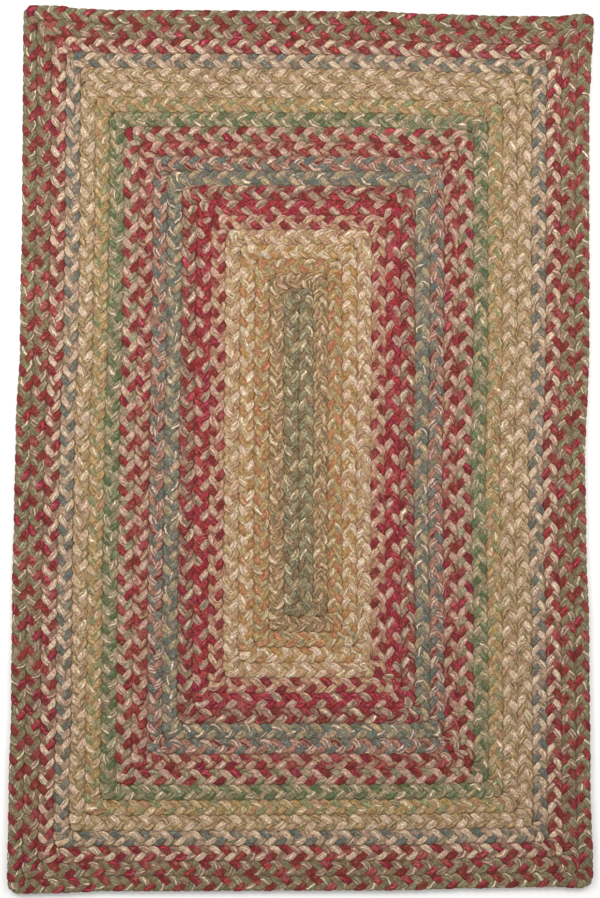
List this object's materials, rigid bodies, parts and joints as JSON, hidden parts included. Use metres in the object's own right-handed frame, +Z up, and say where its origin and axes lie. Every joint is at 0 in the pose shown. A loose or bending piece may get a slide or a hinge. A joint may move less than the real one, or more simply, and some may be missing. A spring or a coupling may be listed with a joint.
{
  "type": "braided rug",
  "caption": "Rectangular scatter rug of flat three-strand yarn braid, wound outwards from a straight middle run, with four closed rings of braid round it, all laced together in multicoloured bands.",
  "frame": {"origin": "on the floor under the middle of the rug's outline", "axes": "+Y along the rug's long side, towards the end where the braid's tail tapers off; +X to the right seen from above; +Z up"},
  "size_m": [0.7154, 1.084, 0.009],
  "materials": {
    "braid_yarn": "matt heathered wool-blend yarn in banded colours: red, olive, cream, slate, tan, gold and green"
  },
  "bodies": {
    "root": {"braided_rug": "braid_yarn"}
  },
  "joints": []
}
